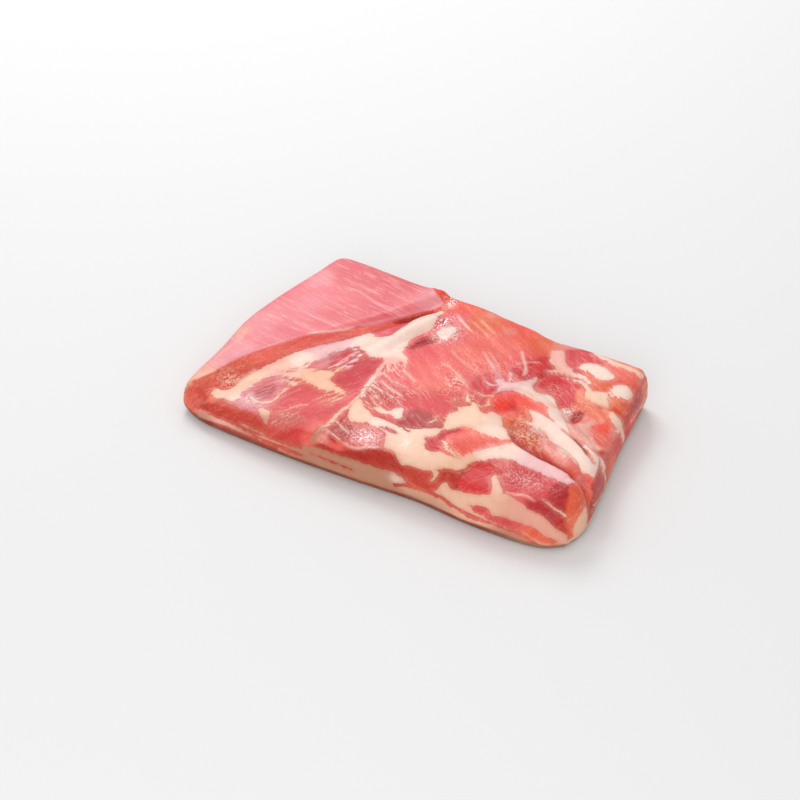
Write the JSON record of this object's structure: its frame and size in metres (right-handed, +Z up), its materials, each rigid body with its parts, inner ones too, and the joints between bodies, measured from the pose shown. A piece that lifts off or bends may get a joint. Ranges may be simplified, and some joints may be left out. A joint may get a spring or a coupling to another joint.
{
  "type": "pork belly slab",
  "caption": "Raw boneless pork belly slab lying rind side down, with a thin flank sheet, marbled lean and two rolled folds of meat.",
  "frame": {"origin": "middle of the slab's bounding box, on the flat rind face it lies on", "axes": "+X along the slab from the thin flank end to the folded end, +Y across it away from the thick folded edge, +Z up out of the cut side"},
  "size_m": [0.264, 0.1736, 0.038],
  "materials": {
    "raw_pork": "moist satin"
  },
  "bodies": {
    "root": {"belly_slab": "raw_pork"}
  },
  "joints": []
}
